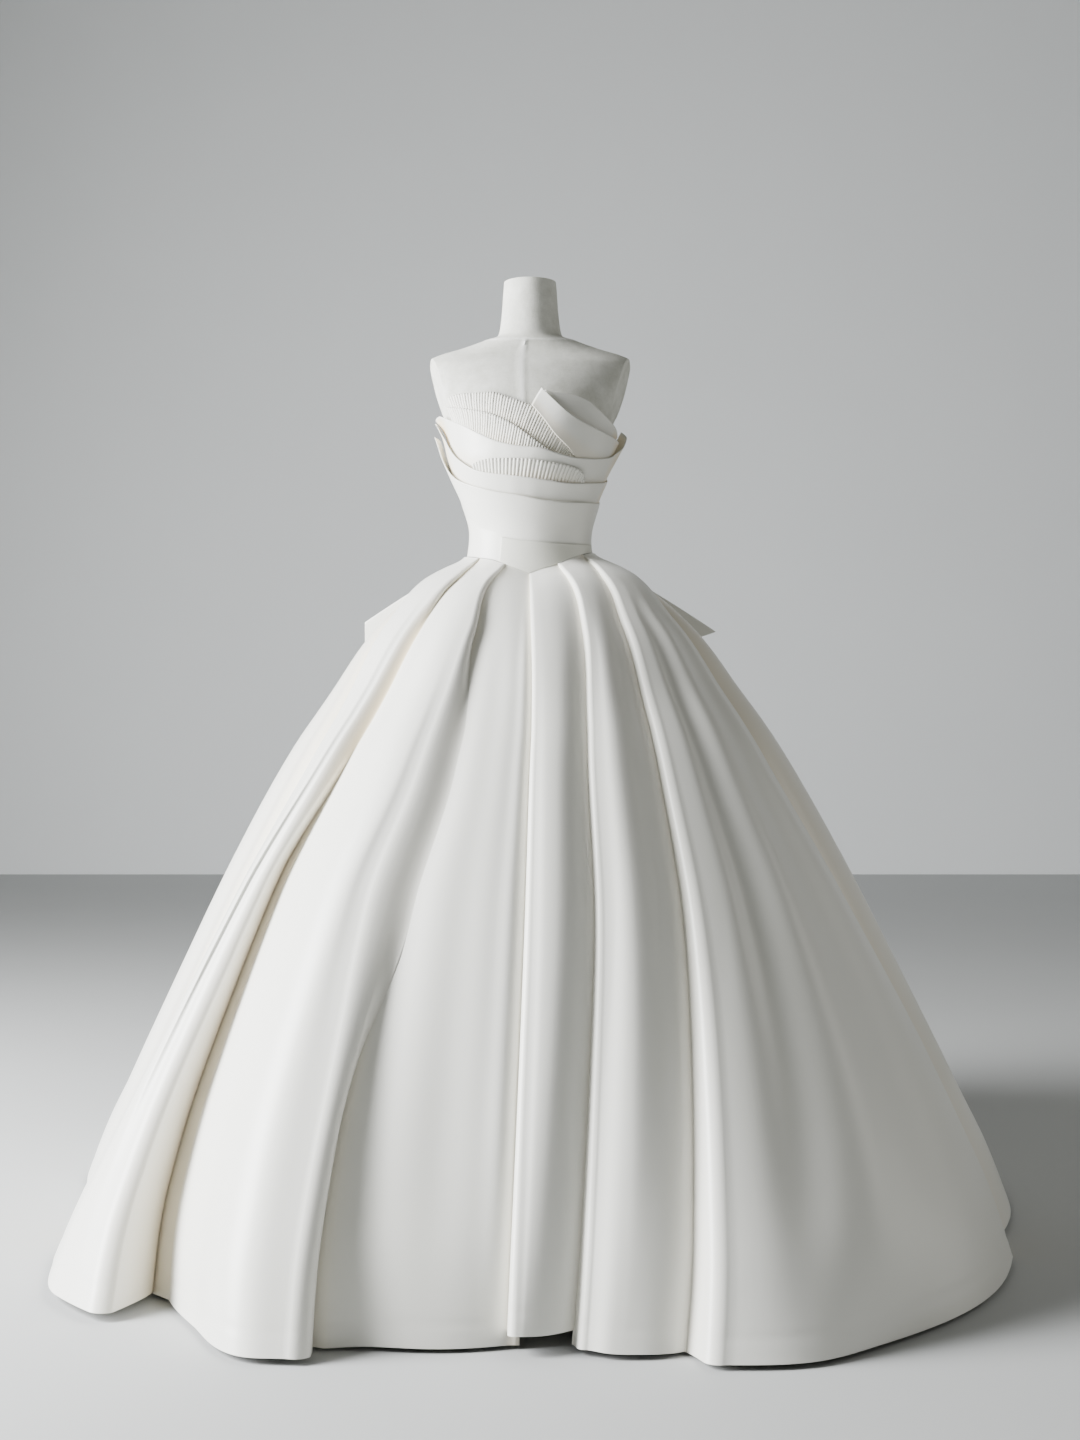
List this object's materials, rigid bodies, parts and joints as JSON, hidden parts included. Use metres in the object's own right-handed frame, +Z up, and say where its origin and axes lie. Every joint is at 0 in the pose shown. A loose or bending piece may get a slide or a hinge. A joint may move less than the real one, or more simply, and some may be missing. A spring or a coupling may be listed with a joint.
{
  "type": "ball gown on a limbless dress form with a stand",
  "caption": "Strapless satin ball gown with layered bodice, fine-pleated fans, V basque, deep-pleated full skirt and back bow, on a linen dress form and stand.",
  "frame": {"origin": "centre of the stand base's underside, on the floor", "axes": "+Z up, -Y towards the gown's front, +X towards the wearer's left, which is the image's right"},
  "size_m": [1.7195, 1.7581, 1.67],
  "materials": {
    "satin": "heavy ivory satin with a soft sheen",
    "pleated_satin": "fine-pleated satin",
    "linen": "off-white linen, matte",
    "stand_metal": "satin white"
  },
  "bodies": {
    "root": {"dress_form": "linen", "stand_pole": "stand_metal", "stand_base": "stand_metal", "fan_upper": "pleated_satin", "fan_lower": "pleated_satin", "pleat_inset": "pleated_satin", "lapel_back": "satin", "lapel_front": "satin", "drape_upper": "satin", "drape_middle": "satin", "bodice_front": "satin", "basque": "satin", "bodice_back_left": "satin", "bodice_back_right": "satin", "gore_1": "satin", "gore_2": "satin", "gore_3": "satin", "gore_4": "satin", "gore_5": "satin", "gore_6": "satin", "gore_7": "satin", "gore_8": "satin", "gore_9": "satin", "gore_10": "satin", "gore_11": "satin", "gore_12": "satin", "bow_loop_left": "satin", "bow_loop_right": "satin", "bow_knot": "satin"}
  },
  "joints": []
}
